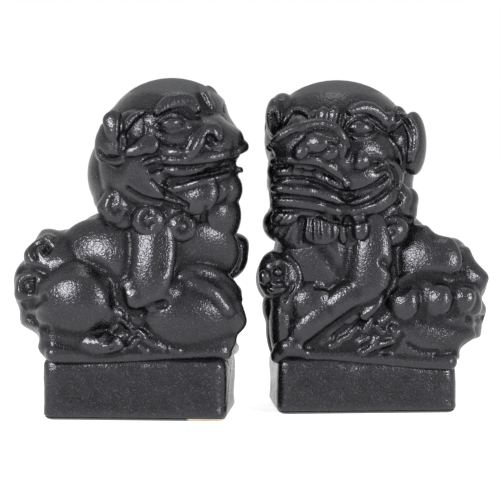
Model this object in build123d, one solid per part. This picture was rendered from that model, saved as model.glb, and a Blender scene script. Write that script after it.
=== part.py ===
from build123d import *
from math import atan2, cos, degrees, radians, sin, sqrt
import os

# A pair of seated guardian lions in dark glazed stoneware, each on its own
# plinth: a male with an open mouth and a ball, a female with a cub.
# Each lion is modelled facing +X with its flank to -Y, in lumps of clay that
# are luted together. The female is the mirror image, set a little further back.
# Lengths are in millimetres and angles in degrees.

# The pair
pair_spacing = 104.5
pair_setback = 23.4
lute_gap = 0.25
overrun = 1.0

# Plinth, hollow underneath
plinth_length = 82.0
plinth_width = 50.0
plinth_turn = -4.3
male_plinth_front_height = 27.6
male_plinth_back_height = 27.6
female_plinth_front_height = 26.0
female_plinth_back_height = 22.7
plinth_wall = 6.0
plinth_corner_radius = 5.0
plinth_top_radius = 2.0
plinth_bottom_radius = 3.5
foot_rim_height = 1.2

# Torso, shoulders and rump
torso_length = 56.0
torso_width = 43.0
torso_height = 74.0
shoulders_length = 46.0
shoulders_width = 37.0
shoulders_height = 38.0
rump_length = 52.0
rump_width = 44.0
male_rump_height = 53.0
female_rump_height = 48.0

# Hind legs
haunch_length = 34.0
haunch_width = 26.0
haunch_height = 40.0
shin_length = 12.0
shin_width = 14.0
shin_height = 26.0
heel_length = 16.0
heel_width = 14.0
heel_height = 16.0
hind_paw_length = 26.0
hind_paw_width = 12.0
hind_paw_height = 11.0

# Tail, three lobes that lie up the rump
tail_lobe_length = 19.0
tail_lobe_width = 25.0
tail_lobe_height = 22.5

# Forelegs
male_near_shoulder_radius = 8.5
male_near_elbow_radius = 7.5
male_near_wrist_radius = 8.5
female_near_shoulder_radius = 11.0
female_near_elbow_radius = 9.0
female_near_wrist_radius = 7.0
far_shoulder_radius = 9.0
far_elbow_radius = 8.0
far_wrist_radius = 7.0
male_near_paw_length = 39.0
male_near_paw_width = 24.0
male_near_paw_height = 28.0
female_near_paw_length = 18.0
female_near_paw_width = 15.0
female_near_paw_height = 13.0
far_paw_length = 18.0
far_paw_width = 17.0
far_paw_height = 13.0

# Rocks on the plinth, ball and cub
mound_length = 56.0
mound_width = 41.0
mound_height = 36.0
male_boulder_length = 41.0
male_boulder_width = 26.0
male_boulder_height = 24.0
female_boulder_length = 24.0
female_boulder_width = 27.0
female_boulder_height = 24.0
pebble_length = 11.0
pebble_width = 12.0
pebble_height = 21.0
ball_diameter = 23.0
cub_head_length = 21.0
cub_head_width = 20.0
cub_head_height = 24.0
cub_body_length = 30.0
cub_body_width = 26.0
cub_body_height = 24.0

# Head, which faces -Y in its own frame before it is turned
skull_width = 58.0
skull_length = 54.0
skull_height = 43.0
mane_width = 60.0
mane_length = 44.0
mane_height = 50.0
muzzle_width = 46.0
muzzle_length = 34.0
muzzle_height = 24.0
nose_width = 32.0
nose_length = 15.0
nose_height = 15.0
upper_lip_width = 51.0
upper_lip_length = 29.0
upper_lip_height = 10.0
jaw_width = 48.0
jaw_length = 30.0
jaw_height = 18.0
cheek_width = 18.0
cheek_length = 30.0
cheek_height = 28.0
teeth_width = 46.0
teeth_length = 28.5
teeth_height = 6.0
eye_width = 12.0
eye_length = 8.0
eye_height = 10.0
brow_width = 20.0
brow_length = 12.0
brow_height = 7.0
ear_width = 11.0
ear_length = 17.0
male_ear_height = 23.0
female_ear_height = 29.0
beard_width = 36.0
beard_length = 24.0
beard_height = 20.0
curl_width = 13.5
curl_length = 13.5
curl_height = 16.0

# Turns of the heads
male_head_turn = 50.0
female_head_turn = 23.0
male_head_tilt = 10.0
female_head_tilt = 7.4
brow_tilt = 12.0
ear_tilt = 8.0

# Places, as shares of the half sizes of the lump that carries each piece
torso_shares = (0.36, 0.0)
male_torso_lift_share = 0.52
female_torso_lift_share = 0.564
shoulders_shares = (-0.79, 0.0, 0.2)
rump_shares = (-1.5, 0.0, -0.24)
haunch_shares = (0.0, 0.62, -0.36)
shin_shares = (0.76, 0.38, 0.0)
heel_shares = (-0.47, 0.15)
heel_lift_share = 0.4
hind_paw_shares = (0.53, 0.4)
hind_paw_lift_share = 0.43
male_tail_shares = ((-0.46, 0.0, 0.58), (-0.7, 0.0, 0.1), (-0.6, 0.0, -0.47))
female_tail_shares = ((-0.44, 0.0, 0.42), (-0.74, 0.0, 0.06), (-0.76, 0.0, -0.66))
male_near_arm_shares = ((-0.29, -0.67, 0.3), (-0.6, -0.88, -0.28), (0.04, -0.88, -0.3))
female_near_arm_shares = ((-0.57, -0.6, 0.38), (-0.68, -0.88, -0.17), (0.47, -0.95, -0.78))
male_far_arm_shares = ((-0.1, 0.55, 0.3), (-0.1, 0.85, -0.25), (0.6, 0.6, -0.3))
female_far_arm_shares = ((-0.14, 0.62, 0.43), (-0.07, 0.86, -0.05), (0.57, 0.62, 0.0))
male_near_paw_shares = (0.43, -0.65, -0.36)
female_near_paw_shares = (0.68, -0.9)
female_near_paw_lift_share = 0.42
male_far_paw_shares = (0.86, 0.5, -0.34)
female_far_paw_shares = (0.8, 0.4, 0.03)
mound_shares = (-0.02, 0.0)
male_boulder_shares = (0.61, -0.44)
female_boulder_shares = (0.74, -0.32)
boulder_lift_share = 0.42
pebble_shares = (0.98, 0.4)
pebble_lift_share = 0.45
ball_shares = (0.86, 0.43, 0.13)
cub_head_shares = (0.9, -0.24, -0.17)
cub_body_shares = (0.36, -0.6, -0.5)
male_head_shares = (-0.14, 0.1, 1.7)
female_head_shares = (-0.22, 0.1, 1.7)
mane_shares = (0.0, 0.45, -0.93)
muzzle_shares = (0.0, -0.74, -0.6)
nose_shares = (0.0, -0.76, 0.42)
upper_lip_shares = (0.0, 0.0, -0.67)
jaw_shares = (0.0, -0.63, -1.49)
cheek_shares = (0.76, -0.22, -0.93)
teeth_shares = (0.0, 0.0, -1.0)
eye_shares = (0.54, -0.78, -0.05)
brow_shares = (0.52, -0.7, 0.3)
ear_shares = (1.13, 0.0, -0.14)
beard_shares = (0.0, -0.3, -1.2)
curl_ring_shares = (1.0, -0.86)
curl_angles = (34.0, 66.0, 102.0)
curl_drop_shares = (-2.05, -1.85, -1.4)

# Directions in which two lumps are measured to see whether they can meet
sight_steps = 12
sight_lines = [
    Vector(0, 0, 1).rotate(Axis.X, 180 * rise / sight_steps).rotate(Axis.Z, 180 * swing / sight_steps)
    for rise in range(sight_steps)
    for swing in range(sight_steps)
]


class Egg:
    """A rounded lump, set by its three full sizes and its place.

    Its surface closes on a seam, which faces outward, away from the lump that carries it.
    """

    def __init__(self, size, place, outward=(1, 0)):
        self.half = Vector(*size) * 0.5
        self.place = place
        self.seam_turn = degrees(atan2(outward[1], outward[0]))

    def clay(self, grow=0.0):
        unit_ball = Solid.make_sphere(1, angle1=-90, angle2=90, angle3=360)
        radii = (self.half.X + grow, self.half.Y + grow, self.half.Z + grow)
        return self.place * scale(unit_ball.rotate(Axis.Z, self.seam_turn), by=radii)

    def spans(self, grow=0.0):
        """How far the lump reaches, low and high, along each sight line."""
        frame = Plane(self.place)
        spans = []
        for line in sight_lines:
            x = (self.half.X + grow) * line.dot(frame.x_dir)
            y = (self.half.Y + grow) * line.dot(frame.y_dir)
            z = (self.half.Z + grow) * line.dot(frame.z_dir)
            reach = sqrt(x * x + y * y + z * z)
            middle = line.dot(frame.origin)
            spans.append((middle - reach, middle + reach))
        return spans

    def spot(self, shares, turn=(0, 0, 0)):
        """A place at shares of the half sizes from the middle."""
        x, y, z = shares
        return self.place * Location((self.half.X * x, self.half.Y * y, self.half.Z * z), turn)

    def bud(self, size, shares, turn=(0, 0, 0)):
        """A lump carried at shares of the half sizes from the middle."""
        return Egg(size, self.spot(shares, turn), shares)


class Limb:
    """A tapered limb with round ends, from one point to another."""

    def __init__(self, start, end, start_radius, end_radius):
        self.start = Vector(start)
        self.end = Vector(end)
        self.start_radius = start_radius
        self.end_radius = end_radius

    def clay(self, grow=0.0):
        reach = (self.end - self.start).length
        near = self.start_radius + grow
        far = self.end_radius + grow
        lean = (near - far) / reach
        flank = sqrt(1 - lean * lean)
        low = near * lean
        high = reach + far * lean
        cone = Pos(0, 0, (low + high) / 2) * Cone(near * flank, far * flank, high - low)
        limb = Sphere(near) + cone + Pos(0, 0, reach) * Sphere(far)
        return Plane(origin=self.start, z_dir=self.end - self.start).location * limb.solid()

    def spans(self, grow=0.0):
        """How far the limb reaches, low and high, along each sight line."""
        spans = []
        for line in sight_lines:
            near = line.dot(self.start)
            far = line.dot(self.end)
            low = min(near - self.start_radius, far - self.end_radius) - grow
            high = max(near + self.start_radius, far + self.end_radius) + grow
            spans.append((low, high))
        return spans


def can_meet(first, second):
    """Whether no sight line shows a gap between two lumps."""
    return all(a[0] < b[1] and b[0] < a[1] for a, b in zip(first, second))


class Statue:
    """The pieces of one lion. Each later lump is trimmed to sit on the earlier ones."""

    def __init__(self, plinth_block, plinth_top):
        self.pieces = {}
        self.plinth_block = plinth_block
        self.plinth_top = plinth_top
        self.seats = []

    def lute(self, name, *forms):
        """Add a piece of one or more lumps, each cut back to its seats by the luting gap."""
        for form in forms:
            clay = form.clay()
            spans = form.spans()
            seats = [seat for seat, seat_spans in self.seats if can_meet(spans, seat_spans)]
            if spans[0][0] < self.plinth_top:
                seats.append(self.plinth_block)
            lumps = (clay - seats).solids() if seats else [clay]
            lump = max(lumps, key=lambda solid: solid.volume)
            self.pieces.setdefault(name, []).append(lump)
            self.seats.append((form.clay(lute_gap), form.spans(lute_gap)))


def plinth_blank(front_height, back_height):
    """The outside of a plinth, a rounded block whose top may slope along its length."""
    half = plinth_length / 2
    side = Plane.XZ * Polygon(
        (-half, 0), (half, 0), (half, front_height), (-half, back_height), align=None
    )
    block = extrude(side, amount=plinth_width / 2, both=True)
    block = fillet(block.edges().filter_by(Axis.Z), plinth_corner_radius)
    block = fillet(block.edges().group_by(Axis.Z)[0], plinth_bottom_radius)
    top = block.faces().sort_by(Axis.Z)[-1]
    return fillet(top.edges(), plinth_top_radius)


def plinth_hollow(front_height, back_height):
    """The open hollow under a plinth, one wall in from every side."""
    half = plinth_length / 2 - plinth_wall
    side = Plane.XZ * Polygon(
        (-half, -overrun), (half, -overrun),
        (half, front_height - plinth_wall), (-half, back_height - plinth_wall), align=None,
    )
    return extrude(side, amount=plinth_width / 2 - plinth_wall, both=True)


def turned(form):
    """The plinth turned a little, about the middle of its front face, under its lion."""
    pivot = Pos(0, -plinth_width / 2, 0)
    return pivot * Rot(0, 0, plinth_turn) * pivot.inverse() * form


def add_plinth(statue, front_height, back_height):
    """The glazed block and the bare foot rim that it stands on."""
    shell = plinth_blank(front_height, back_height) - plinth_hollow(front_height, back_height)
    slab = Pos(0, 0, foot_rim_height / 2) * Box(
        plinth_length + overrun, plinth_width + overrun, foot_rim_height
    )
    statue.pieces["plinth"] = [turned(shell - slab).solid()]
    statue.pieces["foot_rim"] = [turned(shell & slab).solid()]


def on_plinth(plinth_top, shares, lift):
    """A place over the plinth, at shares of its half sizes and a lift above its top."""
    x, y = shares
    return Location((plinth_length / 2 * x, plinth_width / 2 * y, plinth_top + lift))


def below(carrier, shares, level):
    """A place at shares of the carrier's length and width, at a level of its own."""
    x, y = shares
    point = carrier.spot((x, y, 0)).position
    return Location((point.X, point.Y, level))


def add_head(statue, male, torso):
    """The head and mane, from the skull outwards."""
    turn = male_head_turn if male else female_head_turn
    tilt = male_head_tilt if male else female_head_tilt
    neck = torso.spot(male_head_shares if male else female_head_shares)
    frame = neck * Location((0, 0, 0), (0, 0, turn)) * Location((0, 0, 0), (0, -tilt, 0))
    skull = Egg((skull_width, skull_length, skull_height), frame)
    mane = skull.bud((mane_width, mane_length, mane_height), mane_shares)
    muzzle = skull.bud((muzzle_width, muzzle_length, muzzle_height), muzzle_shares)
    lip = muzzle.bud((upper_lip_width, upper_lip_length, upper_lip_height), upper_lip_shares)
    jaw = skull.bud((jaw_width, jaw_length, jaw_height), jaw_shares)
    nose = muzzle.bud((nose_width, nose_length, nose_height), nose_shares)
    beard = jaw.bud((beard_width, beard_length, beard_height), beard_shares)
    statue.lute("skull", skull)
    statue.lute("muzzle", muzzle)
    statue.lute("mane", mane)
    statue.lute("jaw", jaw)
    statue.lute("upper_lip", lip)
    statue.lute("nose", nose)
    if not male:
        statue.lute("teeth", lip.bud((teeth_width, teeth_length, teeth_height), teeth_shares))
    ear_height = male_ear_height if male else female_ear_height
    for side in (-1, 1):
        x, y, z = cheek_shares
        cheek = skull.bud((cheek_width, cheek_length, cheek_height), (side * x, y, z))
        statue.lute("cheeks", cheek)
        x, y, z = eye_shares
        eye = skull.bud((eye_width, eye_length, eye_height), (side * x, y, z))
        statue.lute("eyes", eye)
        x, y, z = brow_shares
        turn = (0, -side * brow_tilt, 0)
        brow = skull.bud((brow_width, brow_length, brow_height), (side * x, y, z), turn)
        statue.lute("brows", brow)
        x, y, z = ear_shares
        turn = (0, -side * ear_tilt, 0)
        ear = skull.bud((ear_width, ear_length, ear_height), (side * x, y, z), turn)
        statue.lute("ears", ear)
    ring_x, ring_y = curl_ring_shares
    for side in (-1, 1):
        for angle, drop_share in zip(curl_angles, curl_drop_shares):
            turned = radians(angle)
            shares = (side * ring_x * sin(turned), ring_y * cos(turned), drop_share)
            statue.lute("mane_curls", skull.bud((curl_width, curl_length, curl_height), shares))
    statue.lute("beard", beard)


def add_hind_legs(statue, rump, near, far, plinth_top):
    """Haunch, shin, heel and hind paw on each side of the rump."""
    x, y, z = haunch_shares
    for side, word in ((-1, near), (1, far)):
        haunch = rump.bud((haunch_length, haunch_width, haunch_height), (x, side * y, z))
        statue.lute(word + "_haunch", haunch)
        shin_x, shin_y, shin_z = shin_shares
        shin = haunch.bud((shin_length, shin_width, shin_height), (shin_x, side * shin_y, shin_z))
        statue.lute("hind_legs", shin)
        level = plinth_top + heel_height * heel_lift_share
        heel_x, heel_y = heel_shares
        place = below(haunch, (heel_x, side * heel_y), level)
        statue.lute("hind_legs", Egg((heel_length, heel_width, heel_height), place, (0, side)))
        level = plinth_top + hind_paw_height * hind_paw_lift_share
        paw_x, paw_y = hind_paw_shares
        place = below(haunch, (paw_x, side * paw_y), level)
        paw = Egg((hind_paw_length, hind_paw_width, hind_paw_height), place, (0, side))
        statue.lute("hind_legs", paw)


def add_foreleg(statue, torso, word, arm_shares, arm_radii, paw):
    """Upper arm, forearm and forepaw, down from the shoulder."""
    shoulder, elbow, wrist = [torso.spot(shares).position for shares in arm_shares]
    shoulder_radius, elbow_radius, wrist_radius = arm_radii
    statue.lute(word + "_upper_arm", Limb(shoulder, elbow, shoulder_radius, elbow_radius))
    statue.lute(word + "_forearm", Limb(elbow, wrist, elbow_radius, wrist_radius))
    statue.lute("forepaws", paw)


def male_lion():
    """The male: open mouth, ball under the far paw, near paw on a boulder."""
    height = (male_plinth_front_height + male_plinth_back_height) / 2
    blank = turned(plinth_blank(male_plinth_front_height, male_plinth_back_height))
    statue = Statue(blank, max(male_plinth_front_height, male_plinth_back_height))
    add_plinth(statue, male_plinth_front_height, male_plinth_back_height)
    place = on_plinth(height, torso_shares, torso_height * male_torso_lift_share)
    torso = Egg((torso_length, torso_width, torso_height), place)
    rump = torso.bud((rump_length, rump_width, male_rump_height), rump_shares)
    add_trunk(statue, torso, rump)
    add_hind_legs(statue, rump, "right", "left", height)
    for shares in male_tail_shares:
        lobe = rump.bud((tail_lobe_length, tail_lobe_width, tail_lobe_height), shares)
        statue.lute("tail", lobe)
    near_radii = (male_near_shoulder_radius, male_near_elbow_radius, male_near_wrist_radius)
    size = (male_near_paw_length, male_near_paw_width, male_near_paw_height)
    paw = torso.bud(size, male_near_paw_shares)
    add_foreleg(statue, torso, "right", male_near_arm_shares, near_radii, paw)
    far_radii = (far_shoulder_radius, far_elbow_radius, far_wrist_radius)
    paw = torso.bud((far_paw_length, far_paw_width, far_paw_height), male_far_paw_shares)
    add_foreleg(statue, torso, "left", male_far_arm_shares, far_radii, paw)
    ball = torso.bud((ball_diameter, ball_diameter, ball_diameter), ball_shares)
    statue.lute("ball", ball)
    boulder_size = (male_boulder_length, male_boulder_width, male_boulder_height)
    add_rocks(statue, height, boulder_size, male_boulder_shares)
    add_head(statue, True, torso)
    return statue.pieces


def female_lion():
    """The female: closed grin, cub under the far paw, near paw on the plinth."""
    height = (female_plinth_front_height + female_plinth_back_height) / 2
    blank = turned(plinth_blank(female_plinth_front_height, female_plinth_back_height))
    statue = Statue(blank, max(female_plinth_front_height, female_plinth_back_height))
    add_plinth(statue, female_plinth_front_height, female_plinth_back_height)
    place = on_plinth(height, torso_shares, torso_height * female_torso_lift_share)
    torso = Egg((torso_length, torso_width, torso_height), place)
    rump = torso.bud((rump_length, rump_width, female_rump_height), rump_shares)
    add_trunk(statue, torso, rump)
    add_hind_legs(statue, rump, "left", "right", height)
    for shares in female_tail_shares:
        lobe = rump.bud((tail_lobe_length, tail_lobe_width, tail_lobe_height), shares)
        statue.lute("tail", lobe)
    near_radii = (female_near_shoulder_radius, female_near_elbow_radius, female_near_wrist_radius)
    level = height + female_near_paw_height * female_near_paw_lift_share
    place = below(torso, female_near_paw_shares, level)
    size = (female_near_paw_length, female_near_paw_width, female_near_paw_height)
    paw = Egg(size, place, (0, -1))
    add_foreleg(statue, torso, "left", female_near_arm_shares, near_radii, paw)
    cub_body = torso.bud((cub_body_length, cub_body_width, cub_body_height), cub_body_shares)
    statue.lute("cub_body", cub_body)
    cub_head = torso.bud((cub_head_length, cub_head_width, cub_head_height), cub_head_shares)
    statue.lute("cub_head", cub_head)
    far_radii = (far_shoulder_radius, far_elbow_radius, far_wrist_radius)
    paw = torso.bud((far_paw_length, far_paw_width, far_paw_height), female_far_paw_shares)
    add_foreleg(statue, torso, "right", female_far_arm_shares, far_radii, paw)
    boulder_size = (female_boulder_length, female_boulder_width, female_boulder_height)
    add_rocks(statue, height, boulder_size, female_boulder_shares)
    add_head(statue, False, torso)
    return statue.pieces


def add_trunk(statue, torso, rump):
    """Torso, rump and the shoulders that bridge them."""
    statue.lute("torso", torso)
    statue.lute("rump", rump)
    size = (shoulders_length, shoulders_width, shoulders_height)
    statue.lute("shoulders", torso.bud(size, shoulders_shares))


def add_rocks(statue, plinth_top, boulder_size, boulder_shares):
    """The mound under the belly, the boulder under the forepaw and a pebble in front."""
    place = on_plinth(plinth_top, mound_shares, 0)
    statue.lute("rocks", Egg((mound_length, mound_width, mound_height), place, (0, -1)))
    boulder_height = boulder_size[-1]
    place = on_plinth(plinth_top, boulder_shares, boulder_height * boulder_lift_share)
    statue.lute("rocks", Egg(boulder_size, place, boulder_shares))
    place = on_plinth(plinth_top, pebble_shares, pebble_height * pebble_lift_share)
    statue.lute("rocks", Egg((pebble_length, pebble_width, pebble_height), place))


def place_pair():
    """All nodes of the pair, with the origin at the middle of the footprint's box."""
    nodes = {}
    for name, lumps in male_lion().items():
        nodes["male_" + name] = [Pos(-pair_spacing / 2, 0, 0) * lump for lump in lumps]
    for name, lumps in female_lion().items():
        mirrored = [mirror(lump, about=Plane.YZ) for lump in lumps]
        shift = Pos(pair_spacing / 2, pair_setback, 0)
        nodes["female_" + name] = [shift * lump for lump in mirrored]
    boxes = [lump.bounding_box() for lumps in nodes.values() for lump in lumps]
    middle_x = (min(box.min.X for box in boxes) + max(box.max.X for box in boxes)) / 2
    middle_y = (min(box.min.Y for box in boxes) + max(box.max.Y for box in boxes)) / 2
    centring = Pos(-middle_x, -middle_y, -min(box.min.Z for box in boxes))
    return {name: [centring * lump for lump in lumps] for name, lumps in nodes.items()}


def main():
    os.makedirs("parts", exist_ok=True)
    for name, lumps in place_pair().items():
        piece = lumps[0] if len(lumps) == 1 else Compound(lumps)
        export_step(piece, "parts/" + name + ".step")


main()
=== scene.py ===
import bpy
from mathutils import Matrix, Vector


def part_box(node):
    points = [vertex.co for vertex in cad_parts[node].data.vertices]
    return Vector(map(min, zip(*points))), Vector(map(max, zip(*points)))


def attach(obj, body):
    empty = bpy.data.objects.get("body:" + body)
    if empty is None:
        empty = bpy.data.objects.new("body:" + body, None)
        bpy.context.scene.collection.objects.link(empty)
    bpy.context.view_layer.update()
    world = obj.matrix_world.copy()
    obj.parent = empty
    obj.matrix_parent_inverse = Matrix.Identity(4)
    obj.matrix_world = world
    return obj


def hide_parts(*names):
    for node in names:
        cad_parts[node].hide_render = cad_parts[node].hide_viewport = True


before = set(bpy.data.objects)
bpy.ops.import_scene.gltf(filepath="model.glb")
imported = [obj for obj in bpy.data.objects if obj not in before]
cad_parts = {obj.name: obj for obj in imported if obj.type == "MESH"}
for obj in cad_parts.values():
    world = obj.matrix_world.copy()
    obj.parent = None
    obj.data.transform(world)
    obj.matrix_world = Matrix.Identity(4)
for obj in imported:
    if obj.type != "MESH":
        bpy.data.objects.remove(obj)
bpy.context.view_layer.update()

from math import atan2, cos, degrees, pi, radians, sin

import bmesh
import bpy
import numpy as np
from mathutils import Vector, noise
from mathutils.bvhtree import BVHTree

# A pair of glazed guardian lions. Each skin is one surface of clay: copies of the CAD pieces that it
# keeps are fused with lumps, bands and rolls of clay, and strokes of a modelling tool are
# then worked into it. Places are pixels of the photograph, read off it; clay sizes are millimetres.

MM = 0.001

# The grids that clay is fused on: for heads and cub, for bodies and ball, and for blocks
FINE_GRID, MIDDLE_GRID, COARSE_GRID = 0.42, 0.5, 0.8
# How far copies of CAD pieces are grown, and how near two corners are when they are one
GROWTH, WELD = 0.18, 0.01
# The least radius that the step along a roll is reckoned from, and that step in radii
THINNEST_ROLL, ROLL_STEP = 0.4, 0.35
# A band is a row of plates, so many pixels apart and at least so long
BAND_STEP, SHORTEST_PLATE = 3.0, 4.0
# Pixels from spot to spot along a stroke, and how sharply it ends where the clay turns away
STROKE_STEP, FADE = 2.0, 2.5
# How far one pass of smoothing moves a spot to its neighbours, and the passes that flatten ridges
EASE, RIDGE_PASSES = 0.5, 40
# Where the matt crown of a skull, painted lighter as if lit from above, begins and how slowly, in halves of
# its height above its middle
CROWN_START, CROWN_FADE = 0.61, 0.3
# Distances from the camera that are tried on a sight line that misses the clay
TRIED_DEPTHS = np.arange(940.0, 1080.0, 2.0)
# Stand-ins for nothing and for far away
NO_AREA, NO_LENGTH, FAR = 1e-12, 1e-9, 1e9


def middle(node):
    """The middle of a CAD node's box, in millimetres."""
    low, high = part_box(node)
    return np.array((low + high) / 2) / MM


# The camera that fits the photograph; its offset is from the ground below the male block's middle
camera_offset = (49.43, -999.93, 137.6)
camera_spot = middle("male_plinth") * (1, 1, 0) + camera_offset
camera_drop = radians(3.63)
focal_pixels = 2228.0
picture_side = 500
sight_forward = np.array((0.0, cos(camera_drop), -sin(camera_drop)))
sight_up = np.array((0.0, sin(camera_drop), cos(camera_drop)))
sight_right = np.array((1.0, 0.0, 0.0))


def sight(pixel):
    """The direction from the camera through a pixel of the photograph."""
    x = (pixel[0] - picture_side / 2) / focal_pixels
    y = (picture_side / 2 - pixel[1]) / focal_pixels
    ray = sight_forward + x * sight_right + y * sight_up
    return ray / np.linalg.norm(ray)


def in_picture(points):
    """The pixels of the photograph at which points in millimetres are seen."""
    away = points - camera_spot
    depth = away @ sight_forward
    across = picture_side / 2 + focal_pixels * (away @ sight_right) / depth
    down = picture_side / 2 - focal_pixels * (away @ sight_up) / depth
    return np.stack((across, down), 1)


def curve_through(points, step):
    """Points every step along a smooth curve through the given points."""
    points = np.asarray(points, float)
    if len(points) == 1:
        return points
    ends = np.vstack((2 * points[0] - points[1], points, 2 * points[-1] - points[-2]))
    out = []
    for k in range(1, len(ends) - 2):
        a, b, c, d = ends[k - 1 : k + 3]
        count = max(1, int(np.linalg.norm(c - b) / step))
        bend = 2 * a - 5 * b + 4 * c - d
        twist = 3 * b - a - 3 * c + d
        for t in np.arange(count) / count:
            out.append(0.5 * (2 * b + (c - a) * t + bend * t * t + twist * t**3))
    out.append(points[-1])
    return np.array(out)


def spread(values, count):
    """So many values that run evenly through the given ones."""
    return np.interp(np.linspace(0, 1, count), np.linspace(0, 1, len(values)), values)


def ball_mesh(fineness):
    """Corners and triangles of a ball of radius one."""
    mesh = bmesh.new()
    bmesh.ops.create_icosphere(mesh, subdivisions=fineness, radius=1.0)
    corners = np.array([v.co for v in mesh.verts])
    faces = np.array([[v.index for v in f.verts] for f in mesh.faces])
    mesh.free()
    return corners, faces


FINE_BALL = ball_mesh(4)
SMALL_BALL = ball_mesh(2)
BAND_BALL = ball_mesh(3)


def mesh_from(name, corners, faces):
    """A mesh of corners and of faces that all have the same number of sides."""
    mesh = bpy.data.meshes.new(name)
    mesh.vertices.add(len(corners))
    mesh.vertices.foreach_set("co", np.ascontiguousarray(corners, np.float32).ravel())
    mesh.loops.add(faces.size)
    mesh.loops.foreach_set("vertex_index", np.ascontiguousarray(faces, np.int32).ravel())
    mesh.polygons.add(len(faces))
    sides = faces.shape[1]
    mesh.polygons.foreach_set("loop_start", np.arange(0, faces.size, sides, dtype=np.int32))
    mesh.update(calc_edges=True)
    return mesh


def cad_clay(node, grow):
    """A CAD node's corners and triangles in millimetres, grown outward a little."""
    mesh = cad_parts[node].data
    corners = told(mesh.vertices, "co")
    mesh.calc_loop_triangles()
    faces = told(mesh.loop_triangles, "vertices", kind=np.int32)
    welded = np.round(corners / (WELD * MM)).astype(np.int64)
    _, first, same = np.unique(welded, axis=0, return_index=True, return_inverse=True)
    corners = corners[first].astype(float) / MM
    faces = same.ravel()[faces]
    sides = corners[faces]
    slopes = np.cross(sides[:, 1] - sides[:, 0], sides[:, 2] - sides[:, 0])
    normals = np.zeros_like(corners)
    for corner in range(3):
        for axis in range(3):
            normals[:, axis] += np.bincount(
                faces[:, corner], weights=slopes[:, axis], minlength=len(corners)
            )
    normals /= np.maximum(np.linalg.norm(normals, axis=1), NO_AREA)[:, None]
    return corners + normals * grow, faces


def told(items, name, width=3, kind=np.float32):
    """What each of a mesh's items says under a name, as an array."""
    out = np.zeros((len(items), width), kind)
    items.foreach_get(name, out.ravel())
    return out


def placed(name, data):
    """A new object of the scene that shows the data."""
    made = bpy.data.objects.new(name, data)
    bpy.context.scene.collection.objects.link(made)
    return made


def remeshed(mesh, grid):
    """The closed surface around a mesh, on an even grid."""
    helper = placed("helper", mesh)
    change = helper.modifiers.new("voxels", "REMESH")
    change.mode = "VOXEL"
    change.voxel_size = grid
    change.adaptivity = 0.0
    bpy.context.view_layer.update()
    shown = helper.evaluated_get(bpy.context.evaluated_depsgraph_get())
    mesh = bpy.data.meshes.new_from_object(shown)
    bpy.data.objects.remove(helper)
    return mesh


# The way a surface faces when it throws a window's light at the camera: azimuth and elevation
MALE_SHEEN = (-18, 12)
FEMALE_SHEEN = (-23, 11)


class Mirror:
    """The middle plane of a head, found from a CAD node that has one solid on each side."""

    def __init__(self, node):
        corners, _ = cad_clay(node, 0.0)
        centre = corners.mean(0)
        widest = np.linalg.svd(corners - centre, full_matrices=False)[2][0]
        side = (corners - centre) @ widest
        left = corners[side > 0].mean(0)
        right = corners[side < 0].mean(0)
        self.point = (left + right) / 2
        self.across = (left - right) / np.linalg.norm(left - right)

    def reflect(self, points):
        points = np.asarray(points, float)
        return points - 2 * np.outer((points - self.point) @ self.across, self.across)


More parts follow.
